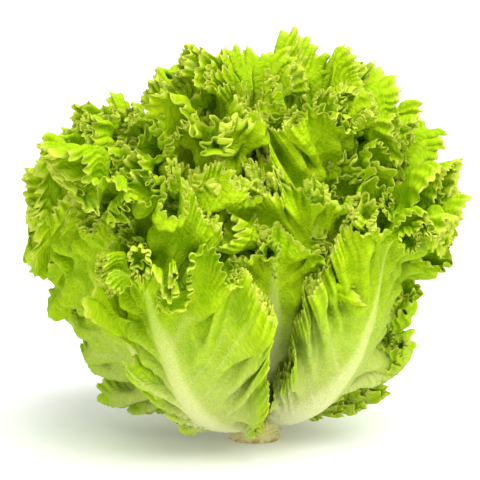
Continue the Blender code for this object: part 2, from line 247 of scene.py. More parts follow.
def place(azimuth, along, layer):
    """A point of the head by azimuth, distance up the leaf and layer. The map is one to one."""
    share = along / np.interp(layer, LAYERS, LENGTHS)
    f = front_share(azimuth)
    gap = read(TABLE_ALL[2], share, layer) * (1 - f) + read(TABLE_FRONT[2], share, layer) * f
    calm = np.clip((read(TABLE_ALL[0], share, layer) - 35) / 85, 0, 1)
    shift = (uneven(UNDULATIONS, azimuth, along, layer) * 4.5 + uneven(RIPPLES, azimuth, along, layer) * RIPPLE * calm)
    shift = shift * smooth((share - 0.48) / 0.45)
    layer = layer * (1 - tuck(azimuth, share)) + shift / np.maximum(gap, 70.0)
    r = read(TABLE_ALL[0], share, layer) * (1 - f) + read(TABLE_FRONT[0], share, layer) * f
    z = read(TABLE_ALL[1], share, layer) * (1 - f) + read(TABLE_FRONT[1], share, layer) * f
    return bend(np.stack([r * np.sin(azimuth), -r * np.cos(azimuth), z], -1))


def leaf_list():
    rng = np.random.default_rng(5)
    leaves = []
    for i in range(LEAF_COUNT):
        azimuth = FIRST_AZIMUTH + GOLDEN_ANGLE * i + rng.uniform(-7, 7)
        leaves.append({"azimuth": azimuth, "spread": 48 + rng.uniform(-3, 5),
                       "length": 1.0 + rng.uniform(-0.05, 0.035), "room": 1.0 + rng.uniform(-0.1, 0.15),
                       "left": 1.0, "right": 1.0, "roll": 0.62, "lean": 0.0, "roll_from": 0.76, "rib": 11.0})
    for i, azimuth in enumerate(OUTER_AZIMUTHS):
        leaves[i]["azimuth"] = azimuth
    for i, changes in LEAF_CHANGES.items():
        leaves[i].update(changes)
    return leaves


LEAVES = leaf_list()


def presence(leaf, azimuth):
    return leaf["room"] * (1 - smooth((np.abs(wrap(azimuth - radians(leaf["azimuth"]))) - radians(leaf["spread"] + 6)) / radians(24)))


def layer_of(i, azimuth):
    """Layer of leaf i at an azimuth, and half the room it has there."""
    shares = [presence(leaf, azimuth) for leaf in LEAVES]
    total = np.maximum(sum(shares), 4.0)
    own = LEAVES[i]["room"]
    return (sum(shares[i + 1:], 0 * azimuth) + 0.5 * own) / total, 0.5 * own / total


def size_leaf(i):
    leaf = LEAVES[i]
    centre = radians(leaf["azimuth"])
    own_layer = float(layer_of(i, np.array([centre]))[0][0])
    leaf["long"] = float(np.interp(own_layer, LAYERS, LENGTHS)) * leaf["length"]
    r = float(value(0, np.array([centre]), np.array([0.66 * leaf["long"]]), np.array([own_layer]))[0])
    leaf["half_width"] = radians(leaf["spread"]) * max(r, HEART_RADIUS)


# ------------------------------------------------------------------ leaf surfaces
def cubic(grid, fu, fv):
    """Smooth lookup in a grid of values at fractional places."""
    nu, nv = grid.shape[:2]
    fu, fv = np.clip(fu, 1, nu - 2.001), np.clip(fv, 1, nv - 2.001)
    i, j = fu.astype(int), fv.astype(int)
    a, b = fu - i, fv - j

    def weights(t):
        return (-0.5 * t**3 + t * t - 0.5 * t, 1.5 * t**3 - 2.5 * t * t + 1, -1.5 * t**3 + 2 * t * t + 0.5 * t, 0.5 * t**3 - 0.5 * t * t)
    wa, wb = weights(a), weights(b)
    out = 0
    for p in range(4):
        for q in range(4):
            out = out + grid[i + p - 1, j + q - 1] * (wa[p] * wb[q])[..., None]
    return out


def soften(grid, times):
    """Evens out a grid of points with its neighbours."""
    for _ in range(times):
        for axis in (0, 1):
            pad = np.concatenate([np.take(grid, [0], axis), grid, np.take(grid, [-1], axis)], axis)
            size = grid.shape[axis]
            grid = (np.take(pad, range(size), axis) + 2 * grid + np.take(pad, range(2, size + 2), axis)) / 4
    return grid


class Sheet:
    """The smooth middle surface of one leaf, from mm across and along it."""

    def __init__(self, i, step=2.5):
        size_leaf(i)
        leaf = LEAVES[i]
        self.wide, self.long, self.step = leaf["half_width"], leaf["long"], step
        centre = radians(leaf["azimuth"])
        self.layer = float(layer_of(i, np.array([centre]))[0][0])
        self.a0, self.b0 = -1.25 * self.wide - 28, -12.0
        na = int(-2 * self.a0 / step) + 2
        nb = int((1.12 * self.long + 40) / step) + 2
        a = self.a0 + step * np.arange(na)[:, None] + np.zeros(nb)
        b = self.b0 + step * np.arange(nb)[None, :] + np.zeros((na, 1))
        h = np.maximum(b, 0)
        r = np.maximum(value(0, centre + 0 * h, h, self.layer + 0 * h), 12.0)
        turn = np.maximum(np.sqrt(r**2 + (self.wide * 0.42) ** 2 * smooth(h / 60)), 12.0)
        azimuth = centre + a / turn + radians(leaf["lean"]) * smooth((b / self.long - 0.2) / 0.8)
        layer, half = layer_of(i, azimuth)
        p = place(azimuth, b, layer)
        room = value(2, azimuth, h, layer) * half
        n = self.outward(p)
        # the tip rolls outward beyond a share of the length
        start = leaf["roll_from"] * self.long
        shift = 8 * np.sin(a / 21.0 + 2.1 * i) + 4 * np.sin(a / 11.0 + 1.3 * i)
        x = np.clip((b - start + shift) / (self.long - start), 0, 1.15)
        turn_out = (ROLL * leaf["roll"] * x**1.4)[:, :-1, None]
        along = np.diff(p, axis=1)
        size = np.linalg.norm(along, axis=-1, keepdims=True)
        along = along * np.cos(turn_out) + n[:, :-1] * size * np.sin(turn_out)
        p = np.concatenate([p[:, :1], p[:, :1] + np.cumsum(along, 1)], 1)
        soft = soften(p, 3)
        p = p + (soft - p) * smooth((b - 15) / 30)[..., None]
        soft = soften(soft, 9)
        p = p + (soft - p) * smooth((b / self.long - 0.5) / 0.4)[..., None]
        n = soften(self.outward(soften(p, 22)), 6)
        room = room + 7.0 * smooth(x) * min(1.0, leaf["roll"])
        self.grid = np.concatenate([p, n, room[..., None]], -1)

    def outward(self, p):
        pa, pb = np.gradient(p, self.step, axis=0), np.gradient(p, self.step, axis=1)
        n = np.cross(pa, pb)
        return n / np.maximum(np.linalg.norm(n, axis=-1, keepdims=True), 1e-9)

    def __call__(self, a, b):
        v = cubic(self.grid, (a - self.a0) / self.step, (b - self.b0) / self.step)
        n = v[..., 3:6]
        return v[..., :3], n / np.maximum(np.linalg.norm(n, axis=-1, keepdims=True), 1e-9), v[..., 6]


def bessel(a):
    p = (np.arange(48) + 0.5) / 48 * pi
    return np.cos(np.asarray(a)[..., None] * np.sin(p)).mean(-1)


def drift(s, length, rng, count=7):
    """Smooth random variation along the margin, about -1.5 to 1.5."""
    out = 0
    for _ in range(count):
        out = out + np.sin(2 * pi / length * rng.uniform(0.45, 1.35) * s + rng.uniform(0, 2 * pi))
    return out / np.sqrt(count / 2)


def blur(a, step, length):
    k = max(1, int(length / step))
    w = np.hanning(2 * k + 3)[1:-1]
    w /= w.sum()
    pad = len(w) // 2
    b = np.concatenate([2 * a[:1] - a[pad:0:-1], a, 2 * a[-1:] - a[-2:-pad - 2:-1]], 0)
    size = 1 << int(np.ceil(np.log2(len(b) + len(w))))
    spectrum = np.fft.rfft(b, size, axis=0) * np.fft.rfft(w, size).reshape((-1,) + (1,) * (b.ndim - 1))
    return np.fft.irfft(spectrum, size, axis=0)[2 * pad:2 * pad + len(a)]


# rows from midrib to margin, and how many columns each leaves out
ROWS = np.array([0, .010, .022, .036, .052, .072, .096, .124, .155, .188, .222, .257, .293, .329, .365, .401, .437, .472, .506,
                 .539, .571, .602, .632, .661, .690, .719, .747, .774, .800, .825, .849, .872, .893, .913, .932, .950, .967, .984,
                 1.0])
STRIDE = np.where(ROWS < 0.40, 8, np.where(ROWS < 0.66, 4, np.where(ROWS < 0.89, 2, 1)))


def leaf_shape(i):
    """Both faces of leaf i as point grids, with the values its material reads."""
    leaf = LEAVES[i]
    rng = np.random.default_rng(SEED + i + (50 if i in (2, 7, 22) else 0))
    sheet = Sheet(i)
    wide, long = sheet.wide, sheet.long
    age = i / (LEAF_COUNT - 1)
    t = np.linspace(0, 1, 400)
    nodes = np.linspace(0, 1, len(OUTLINE_ACROSS))
    oa = through(nodes, OUTLINE_ACROSS, t) * wide
    ob = through(nodes, OUTLINE_ALONG, t) * long
    om = through(nodes, MIDRIB_ALONG, t) * long
    run = np.concatenate([[0], np.cumsum(np.hypot(np.diff(oa), np.diff(ob)))])
    half = run[-1]
    flat = 2 * int(round(half / 0.12)) + 1                # even steps, fine enough to follow the smallest wave
    s = np.linspace(0, 2 * half, flat)
    ds = s[1] - s[0]
    up = np.where(s <= half, s, 2 * half - s)
    side = np.where(s <= half, -1.0, 1.0)
    ea, eb, mb = np.interp(up, run, oa), np.interp(up, run, ob), np.interp(up, run, om)
    ea = ea * (1 + (np.where(s <= half, leaf["left"], leaf["right"]) - 1) * smooth(eb / long / 0.34))
    swell = 1 + 0.05 * drift(s, 150, rng) * smooth(up / 80) + 0.025 * drift(s, 42, rng) * smooth(up / 60)
    v = ROWS[None, :]
    a = (ea * side * swell)[:, None] * v**0.97
    b = mb[:, None] + ((eb - mb) * swell)[:, None] * v**1.12
    ga, gb = np.gradient(a, ds, axis=0), np.gradient(b, ds, axis=0)
    metric = np.hypot(ga, gb) + 1e-9
    ta, tb = ga / metric, gb / metric
    metric = np.minimum(blur(metric, ds, 12), 1.3)

    # frills: small waves on middle ones on wide ones, swept along the margin
    crisp = 0.30 + 0.70 * smooth((eb / long - 0.02) / 0.28)
    wide_w, mid_w, small_w = FRILL_WIDE * (1 - 0.2 * age), FRILL_MID * (1 - 0.12 * age), FRILL_SMALL
    p0 = 2 * pi * np.cumsum(ds / (wide_w * (1 + 0.16 * drift(s, 80, rng)))) + rng.uniform(0, 6.28)
    p1 = 2 * pi * np.cumsum(ds / (mid_w * np.clip(1 + 0.20 * drift(s, 60, rng), 0.6, 1.6))) + rng.uniform(0, 6.28)
    m0 = np.clip(1 + 0.25 * drift(s, 110, rng), 0.5, 1.4)
    m1 = np.clip(1.0 + 0.08 * drift(s, 70, rng), 0.86, 1.1)
    ray = np.hypot(ea, eb - mb) + 1e-6
    inward = (1 - v) * ray[:, None]

    def zone(reach, full):
        reach_ = np.minimum(reach, 0.9 * ray)[:, None]
        return smooth((reach_ - inward) / (reach_ * (1 - full / reach)))
    k0 = np.minimum(FRILL_TURN[0] * m0 * smooth((eb / long - 0.10) / 0.40), 0.95)[:, None] * zone(*FRILL_REACH[0])
    k1 = np.minimum(FRILL_TURN[1] * m1 * crisp, 1.95)[:, None] * zone(*FRILL_REACH[1])

    def sweep(angle, gain):
        x = np.cumsum((gain * np.cos(angle) - 1) * ds, 0)
        n = np.cumsum(gain * np.sin(angle) * ds, 0)
        return x - blur(x, ds, wide_w * 0.8), n - blur(n, ds, wide_w * 0.8)
    gain = 1 / (bessel(k0) * bessel(k1))
    arc = np.cumsum(gain[:, -1] * ds)                     # length along the waved margin
    m2 = np.clip(1.0 + 0.22 * drift(arc, 60, rng), 0.6, 1.3)
    p2 = 2 * pi * np.cumsum(gain[:, -1] * ds / (small_w * np.clip(1 + 0.22 * drift(arc, 40, rng), 0.6, 1.6))) + rng.uniform(0, 6.28)
    k2 = np.minimum(FRILL_TURN[2] * m2 * (0.45 + 0.55 * crisp), 1.5)[:, None] * zone(*FRILL_REACH[2])
    angle = k0 * np.sin(p0)[:, None] + k1 * np.sin(p1)[:, None]
    _, broad = sweep(angle, gain)
    x, n = sweep(angle + k2 * np.sin(p2)[:, None], gain / bessel(k2))
    small = n - broad
    reach = np.sqrt(np.maximum(blur(broad**2, ds, 26), 1e-6)) * 1.55
    p3 = 2 * pi * np.cumsum(gain[:, -1] * ds / (2.9 * np.clip(1 + 0.25 * drift(arc, 20, rng), 0.6, 1.6)))
    tooth = (np.abs(np.sin(p3 * 0.5)) ** 0.8 - 0.5) * TOOTH + 0.5 * drift(arc, 11, rng)

    # mesh columns lie evenly along the waved margin
    lace = np.cumsum(ds * np.maximum((gain / bessel(k2))[:, -1], 1.6))
    count = 16 * int(round((lace[-1] - lace[0]) / COLUMN_STEP / 16)) + 1
    middle = (flat - 1) // 2
    left_count = (count - 1) // 2
    at = np.concatenate([np.interp(np.linspace(lace[0], lace[middle], left_count + 1), lace, s),
                         np.interp(np.linspace(lace[middle], lace[-1], left_count + 1)[1:], lace, s)])
    where = at / ds
    low = np.clip(where.astype(int), 0, flat - 2)
    part_ = where - low

    def pick(q):
        w = part_.reshape((-1,) + (1,) * (q.ndim - 1))
        return q[low] * (1 - w) + q[low + 1] * w
    ta, tb, metric, a, b, broad, small, x, reach = (pick(q) for q in (ta, tb, metric, a, b, broad, small, x, reach))
    side = np.where(np.arange(count) <= left_count, -1.0, 1.0)
    s, ea, eb, mb, ray, crisp, inward, tooth, arc = (pick(q) for q in (s, ea, eb, mb, ray, crisp, inward, tooth, arc))
    _, _, room = sheet(a, b)
    # the leaves that lie against the two front ones keep closer to their own sheet
    near = (a > 0) * (i == 2) + np.ones_like(a) * (i in (6, 8))
    free = smooth((eb / long - (0.62 if i in (6, 8) else 0.46)) / 0.2)[:, None] * np.ones_like(a)
    if i < 4:
        free = np.where(near > 0, free, 1.0)
    share_ = 1.1 - 0.3 * near + (ROOM - 1.1) * smooth((34 - inward) / 22) * free
    n = (broad * np.minimum(1.0, share_ * room / reach) + small) * metric
    a2, b2 = a + ta * x * metric, b + tb * x * metric

    # side veins fork towards the margin
    u = s / VEIN_STEP + 0.30 * drift(s, 90, rng) + rng.uniform()
    vein = 0
    fork = [smooth((v - start) / 0.34) for start in (0.16, 0.40, 0.62)]
    for shift, width, size in ((0 * v, 1.5 - 0.9 * v, 1.0 - 0.35 * v), (0.5 * fork[0], 1.0 - 0.45 * v, 0.75 * fork[0]),
                               (0.25 * fork[1], 0.65, 0.55 * fork[1]), (-0.25 * fork[1], 0.65, 0.55 * fork[1]),
                               (0.125 * fork[2], 0.45, 0.40 * fork[2]), (0.375 * fork[2], 0.45, 0.40 * fork[2]),
                               (-0.125 * fork[2], 0.45, 0.40 * fork[2]), (-0.375 * fork[2], 0.45, 0.40 * fork[2])):
        d = u[:, None] - shift
        d = np.abs(d - np.round(d)) * VEIN_STEP * metric
        vein = np.maximum(vein, size * np.exp(-(d / width) ** 2))
    vein = vein * smooth(ray / 30)[:, None] * smooth((v - 0.01) / 0.06)

    # small teeth, and puckers between the veins
    push = (tooth * (0.5 + 0.5 * crisp))[:, None] * smooth((v - 0.93) / 0.07)
    a2 = a2 + push * (ea * side / ray)[:, None]
    b2 = b2 + push * ((eb - mb) / ray)[:, None]
    pucker = 0
    for _ in range(9):
        th, length = rng.uniform(0, 2 * pi), rng.uniform(7, 13)
        pucker = pucker + np.sin((a * np.cos(th) + b * np.sin(th)) * 2 * pi / length + rng.uniform(0, 6.28) + 1.3 * np.sin(b / 17.0 + th))
    pucker = pucker / 3.0 * (1 - 0.8 * vein)
    crumb = 0
    for _ in range(7):
        th, length = rng.uniform(0, 2 * pi), rng.uniform(3.2, 5.2)
        crumb = crumb + np.sin((arc[:, None] * np.cos(th) + inward * np.sin(th)) * 2 * pi / length + rng.uniform(0, 6.28))
    crumb = crumb / 2.6 * smooth((34 - inward) / 20) * crisp[:, None]
    crumple = 0
    for _ in range(8):
        th, length = rng.uniform(0, 2 * pi), rng.uniform(15, 27)
        crumple = crumple + np.sin((a * np.cos(th) + b * np.sin(th)) * 2 * pi / length + rng.uniform(0, 6.28) + 1.5 * np.cos(a / 23.0 - th))
    upper = smooth((b / long - 0.36) / 0.34) * smooth((np.abs(a) - 1) / 12) * (1 - 0.45 * near)
    blistered = smooth((np.abs(a) - 3) / 14) * (0.12 + 0.88 * smooth((b / long - 0.12) / 0.4))
    n = n + (0.62 + 0.40 * upper) * pucker * blistered * (1 - 0.35 * smooth((v - .8) / .2)) + 0.34 * crumb + (CRUMPLE + 0.9 * age) * crumple / 2.8 * upper

    p, normal, room = sheet(a2, b2)
    p = p + normal * n[..., None]

    # thickness: a fleshy midrib that stands out at the back, veins, thin blade
    foot = np.clip(b / long, 0, 1)
    rib_w = (leaf["rib"] * (1 - foot) ** 1.5 + 1.5) * (1.0 - 0.35 * age)
    rib_h = (4.4 * (1 - foot) ** 1.3 + 0.45) * (1.0 - 0.45 * age) * (leaf["rib"] / 11) ** 0.5 * (1 - smooth((foot - 0.78) / 0.1))
    rib = np.exp(-np.abs(a / rib_w) ** 2.4)
    rib_mm = np.minimum(rib * rib_h, room * 0.9)
    blade = np.minimum(0.40 + 0.75 * (1 - smooth(foot / 0.30)), room * 0.8)
    thin = 1 - 0.55 * smooth((v - 0.9) / 0.1)
    back = 0.5 * blade * thin + rib_mm + 0.42 * vein * (1 - 0.6 * v)
    front = 0.5 * blade * thin - 0.20 * vein * (1 - v) - 0.10 * rib_mm * (1 - foot)
    front = np.maximum(front, -back + 0.12)
    du, dv = np.gradient(p, axis=0), np.gradient(p, ROWS, axis=1)
    out = np.cross(du, dv)
    size = np.linalg.norm(out, axis=-1, keepdims=True)
    out = np.where(size > 1e-4, out / np.maximum(size, 1e-9), normal)
    # the two halves share the midrib
    m = count // 2
    mid = out[:, 0] + out[::-1, 0]
    out[:, 0] = mid / np.maximum(np.linalg.norm(mid, axis=-1, keepdims=True), 1e-9)
    p[:, 0] = 0.5 * (p[:, 0] + p[::-1, 0])
    for grid in (back, front):
        grid[:, 0] = 0.5 * (grid[:, 0] + grid[::-1, 0])
    inward = np.broadcast_to(inward, a.shape)
    return {"back": p + out * back[..., None], "front": p - out * front[..., None], "a": a, "b": b, "vein": vein, "rib": rib,
            "edge": inward, "along": b / long + (0 if i in (0, 3, 8) else 0.16) * (1 - b / long), "s": s / (2 * half), "age": age, "pucker": pucker * blistered + crumb * 0.8,
            "depth": np.broadcast_to(np.clip(n, -20, 20), a.shape)}


def leaf_faces(count):
    """Vertex numbers and faces of the closed leaf: the back, the front and the rim between them."""
    ids = -np.ones((count, len(ROWS)), int)
    total = 0
    for r, stride in enumerate(STRIDE):
        cols = np.arange(0, count, stride)
        if r == 0:
            left = cols[cols <= count // 2]
            ids[left, 0] = total + np.arange(len(left))
            ids[count - 1 - left, 0] = ids[left, 0]
            total += len(left)
        else:
            ids[cols, r] = total + np.arange(len(cols))
            total += len(cols)
    quads, tris = [], []
    for r in range(len(ROWS) - 1):
        s0, s1 = STRIDE[r], STRIDE[r + 1]
        c = np.arange(0, count - 1, s0)
        if s0 == s1:
            quads.append(np.stack([ids[c, r], ids[c, r + 1], ids[c + s0, r + 1], ids[c + s0, r]], -1))
        else:
            h = c + s1
            tris.append(np.stack([ids[c, r], ids[c, r + 1], ids[h, r + 1]], -1))
            tris.append(np.stack([ids[c, r], ids[h, r + 1], ids[c + s0, r]], -1))
            tris.append(np.stack([ids[c + s0, r], ids[h, r + 1], ids[c + s0, r + 1]], -1))
    quads, tris = np.concatenate(quads), np.concatenate(tris)
    last = len(ROWS) - 1
    loop = np.concatenate([ids[0, :last], ids[:, last], ids[count - 1, last - 1:0:-1]])
    nxt = np.roll(loop, -1)
    rim = np.stack([loop, loop + total, nxt + total, nxt], -1)
    quads = np.concatenate([quads[:, ::-1], quads + total, rim[:, ::-1]])
    tris = np.concatenate([tris[:, ::-1], tris + total])
    # a quad that starts on the midrib's end can have two like corners
    same = (quads[:, 0] == quads[:, 3]) | (quads[:, 1] == quads[:, 2]) | (quads[:, 0] == quads[:, 1]) | (quads[:, 2] == quads[:, 3])
    for q in quads[same]:
        keep = [k for n_, k in enumerate(q) if k != q[n_ - 1]]
        if len(keep) == 3:
            tris = np.concatenate([tris, [keep]])
    return ids, quads[~same], tris, total


def build_leaf(i, name, material):
    g = leaf_shape(i)
    count = g["a"].shape[0]
    ids, quads, tris, total = leaf_faces(count)
    pick = ids >= 0
    order = ids[pick]

    def spread(grid):
        flat = np.zeros((total,) + grid.shape[2:], np.float32)
        flat[order] = grid[pick]
        return flat
    co = np.concatenate([spread(g["back"]), spread(g["front"])]) * MM
    mesh = bpy.data.meshes.new(name)
    mesh.vertices.add(len(co))
    mesh.vertices.foreach_set("co", co.astype(np.float32).ravel())
    loops = np.concatenate([quads.ravel(), tris.ravel()]).astype(np.int32)
    mesh.loops.add(len(loops))
    mesh.loops.foreach_set("vertex_index", loops)
    mesh.polygons.add(len(quads) + len(tris))
    starts = np.concatenate([np.arange(len(quads)) * 4, len(quads) * 4 + np.arange(len(tris)) * 3]).astype(np.int32)
    mesh.polygons.foreach_set("loop_start", starts)
    mesh.update()
    mesh.shade_smooth()
    face = np.concatenate([np.zeros(total), np.ones(total)])
    for key, grid in (("vein", g["vein"]), ("rib", g["rib"]), ("edge", g["edge"]), ("along", g["along"]), ("depth", g["depth"]), ("pucker", g["pucker"])):
        flat = spread(np.ascontiguousarray(grid))
        mesh.attributes.new(key, "FLOAT", "POINT").data.foreach_set("value", np.concatenate([flat, flat]).astype(np.float32))
    mesh.attributes.new("inner", "FLOAT", "POINT").data.foreach_set("value", face.astype(np.float32))
    place_ = np.stack([spread(g["a"]), spread(g["b"])], -1)
    place_ = np.concatenate([np.concatenate([place_, np.full((total, 1), 31.0 * i)], 1), np.concatenate([place_, np.full((total, 1), 31.0 * i + 7)], 1)])
    mesh.attributes.new("leafco", "FLOAT_VECTOR", "POINT").data.foreach_set("vector", place_.astype(np.float32).ravel())
    # one map for both faces: margin runs across it, midrib to margin up each half
    uv = mesh.uv_layers.new(name="OFBake")
    grid_v = np.broadcast_to(ROWS[None, :] ** 0.8, g["a"].shape)
    uu = spread(np.ascontiguousarray(np.broadcast_to(g["s"][:, None], g["a"].shape)))
    vv = spread(np.ascontiguousarray(grid_v))
    # the midrib's points belong to both halves, so they are mapped per corner
    corner_u = np.concatenate([uu, uu])[loops]
    corner_v = np.concatenate([0.01 + 0.48 * vv, 0.51 + 0.48 * vv])[loops]
    face_of = np.repeat(np.arange(len(starts)), np.concatenate([np.full(len(quads), 4), np.full(len(tris), 3)]))
    high = np.zeros(len(starts))
    np.maximum.at(high, face_of, corner_u)
    on_rib = np.concatenate([vv, vv])[loops] <= 0
    mirrored = on_rib & (high[face_of] > 0.5) & (corner_u < 0.5 - 1e-6)
    corner_u = np.where(mirrored, 1 - corner_u, corner_u)
    uv.data.foreach_set("uv", np.stack([0.005 + 0.99 * corner_u, corner_v], -1).astype(np.float32).ravel())
    mesh.materials.append(material)
    mesh.validate()
    obj = bpy.data.objects.new(name, mesh)
    bpy.context.scene.collection.objects.link(obj)
    return obj


# ------------------------------------------------------------------ materials
class Nodes:
    """Short ways to add shader nodes."""

    def __init__(self, name):
        self.material = bpy.data.materials.new(name)
        self.material.use_nodes = True
        self.tree = self.material.node_tree
        self.tree.nodes.clear()

    def add(self, kind, **values):
        node = self.tree.nodes.new(kind)
        for key, val in values.items():
            setattr(node, key, val)
        return node

    def put(self, socket, val):
        if isinstance(val, bpy.types.NodeSocket):
            self.tree.links.new(val, socket)
        else:
            socket.default_value = val

    def attribute(self, name, out="Fac"):
        return self.add("ShaderNodeAttribute", attribute_name=name).outputs[out]

    def math(self, how, a, b=0.0, c=0.0, clamp=False):
        node = self.add("ShaderNodeMath", operation=how, use_clamp=clamp)
        for socket, val in zip(node.inputs, (a, b, c)):
            self.put(socket, val)
        return node.outputs[0]

    def ramp(self, x, low, high, to_low=0.0, to_high=1.0):
        node = self.add("ShaderNodeMapRange", interpolation_type="SMOOTHSTEP", clamp=True)
        for key, val in (("Value", x), ("From Min", low), ("From Max", high), ("To Min", to_low), ("To Max", to_high)):
            self.put(node.inputs[key], val)
        return node.outputs[0]

    def mix(self, share, a, b, how="MIX"):
        node = self.add("ShaderNodeMix", data_type="RGBA", blend_type=how, clamp_factor=True)
        self.put(node.inputs[0], share)
        self.put(node.inputs[6], a if isinstance(a, bpy.types.NodeSocket) else (*a, 1.0))
        self.put(node.inputs[7], b if isinstance(b, bpy.types.NodeSocket) else (*b, 1.0))
        return node.outputs[2]

    def noise(self, vector, scale, detail=3.0, rough=0.55):
        node = self.add("ShaderNodeTexNoise")
        self.put(node.inputs["Vector"], vector)
        for key, val in (("Scale", scale), ("Detail", detail), ("Roughness", rough)):
            node.inputs[key].default_value = val
        return node.outputs[0]

    def cells(self, vector, scale, feature="DISTANCE_TO_EDGE"):
        node = self.add("ShaderNodeTexVoronoi", feature=feature)
        self.put(node.inputs["Vector"], vector)
        node.inputs["Scale"].default_value = scale
        return node.outputs[0]


THROUGH = 0.20                            # share of light that a blade lets through
# darkest green: painted shade in the hollows, and the flecks of tissue
SHADE_AND_FLECK_GREEN = (0.160, 0.395, 0.0010)
GREEN = (0.385, 0.675, 0.0020)
GREEN_LIGHT = (0.600, 0.775, 0.009)
VEIN = (0.640, 0.820, 0.012)
# pale yellow-green of the painted highlight along the margin
RIM_HIGHLIGHT = (0.800, 0.845, 0.110)
PALE = (0.720, 0.740, 0.260)
WHITE = (0.870, 0.860, 0.540)


def leaf_material(name, age):
    n = Nodes(name)
    co = n.attribute("leafco", "Vector")
    along, edge, rib, vein = (n.attribute(k) for k in ("along", "edge", "rib", "vein"))
    inner, pucker = n.attribute("inner"), n.attribute("pucker")
    broad = n.noise(co, 0.035, 2.0)
    patch = n.noise(co, 0.16, 3.0)
    grain = n.noise(co, 0.9, 4.0, 0.65)
    net = n.cells(co, 0.40)
    net_line = n.ramp(net, 0.0, 0.16, 1.0, 0.0)
    fine = n.cells(co, 0.95)
    fine_line = n.ramp(fine, 0.0, 0.14, 1.0, 0.0)

    # green of the blade: lighter outside the leaf and where it is young
    tone = n.math("ADD", n.math("MULTIPLY", broad, 0.7), n.math("MULTIPLY", patch, 0.7))
    tone = n.math("ADD", tone, n.math("MULTIPLY", pucker, 0.16))
    tone = n.math("ADD", tone, n.math("MULTIPLY", inner, -0.16))
    tone = n.math("ADD", tone, -0.36 + 0.22 * age)
    colour = n.mix(tone, GREEN, GREEN_LIGHT)
    # painted shade: a darker green in patches away from the margin, strongest on the inner face, standing in for the
    # shade in the hollows between the leaves
    painted_shade = n.math("MULTIPLY", n.ramp(edge, 3.0, 20.0), n.ramp(patch, 0.30, 0.72, 0.15, 0.60))
    painted_shade = n.math("MULTIPLY", painted_shade, n.math("ADD", 0.45, n.math("MULTIPLY", inner, 0.55)))
    colour = n.mix(painted_shade, colour, SHADE_AND_FLECK_GREEN)
    # fine network of veins
    colour = n.mix(n.math("MULTIPLY", net_line, 0.42), colour, VEIN)
    colour = n.mix(n.math("MULTIPLY", fine_line, 0.20), colour, VEIN)
    # side veins, midrib and the pale foot, plainest at the back of the leaf
    colour = n.mix(n.math("MULTIPLY", vein, 0.60), colour, n.mix(n.ramp(along, 0.35, 0.8), PALE, VEIN))
    foot = n.math("ADD", along, n.math("MULTIPLY", n.math("SUBTRACT", patch, 0.5), 0.12))
    foot = n.math("SUBTRACT", foot, n.math("MULTIPLY", vein, 0.10))
    foot = n.math("SUBTRACT", foot, n.math("MULTIPLY", rib, 0.10))
    foot = n.math("ADD", foot, n.math("MULTIPLY", inner, 0.08))
    paleness = n.math("MULTIPLY", n.ramp(foot, 0.16, 0.74, 1.0, 0.0), n.ramp(edge, 2.0, 26.0, 0.10, 1.0))
    colour = n.mix(n.math("MULTIPLY", paleness, 0.95), colour, PALE)
    colour = n.mix(n.math("MULTIPLY", n.ramp(foot, -0.02, 0.36, 1.0, 0.0), n.ramp(edge, 2.0, 16.0, 0.3, 1.0)), colour, WHITE)
    colour = n.mix(n.math("MULTIPLY", net_line, 0.22), colour, VEIN)
    rib_pale = n.math("MULTIPLY", n.ramp(rib, 0.1, 1.0), n.ramp(along, 0.40, 0.85, 0.8, 0.20))
    rib_pale = n.math("MULTIPLY", rib_pale, n.math("SUBTRACT", 1.0, n.math("MULTIPLY", inner, 0.5)))
    colour = n.mix(rib_pale, colour, n.mix(n.ramp(along, 0.10, 0.60), WHITE, PALE))
    # painted highlight: a bright band along the thin margin, standing in for light coming through the edge
    colour = n.mix(n.ramp(edge, 0.2, 3.2, 0.85, 0.0), colour, RIM_HIGHLIGHT)
    # flecks of tissue
    colour = n.mix(n.ramp(grain, 0.35, 0.75, 0.0, 0.34), colour, SHADE_AND_FLECK_GREEN)

    height = n.math("ADD", n.math("MULTIPLY", n.ramp(net, 0.0, 0.35), 0.6), n.math("MULTIPLY", n.ramp(fine, 0.0, 0.3), 0.25))
    height = n.math("ADD", height, n.math("MULTIPLY", grain, 0.3))
    height = n.math("MULTIPLY", height, n.ramp(rib, 0.1, 0.7, 1.0, 0.15))
    bump = n.add("ShaderNodeBump")
    bump.inputs["Strength"].default_value = 0.6
    bump.inputs["Distance"].default_value = 0.0010
    n.put(bump.inputs["Height"], height)

    shader = n.add("ShaderNodeBsdfPrincipled")
    n.put(shader.inputs["Base Color"], colour)
    n.put(shader.inputs["Roughness"], n.ramp(grain, 0.25, 0.75, 0.42, 0.60))
    shader.inputs["IOR"].default_value = 1.42
    shader.inputs["Specular IOR Level"].default_value = 0.07
    n.put(shader.inputs["Normal"], bump.outputs[0])
    through_ = n.add("ShaderNodeBsdfTranslucent")
    n.put(through_.inputs["Color"], n.mix(1.0, colour, (1.0, 1.0, 0.5), "MULTIPLY"))
    n.put(through_.inputs["Normal"], bump.outputs[0])
    both = n.add("ShaderNodeMixShader")
    n.put(both.inputs[0], n.math("MULTIPLY", n.ramp(rib, 0.2, 0.8, THROUGH, 0.10), n.ramp(along, 0.0, 0.35, 0.5, 1.0)))
    n.tree.links.new(shader.outputs[0], both.inputs[1])
    n.tree.links.new(through_.outputs[0], both.inputs[2])
    out = n.add("ShaderNodeOutputMaterial")
    n.tree.links.new(both.outputs[0], out.inputs[0])
    return n.material


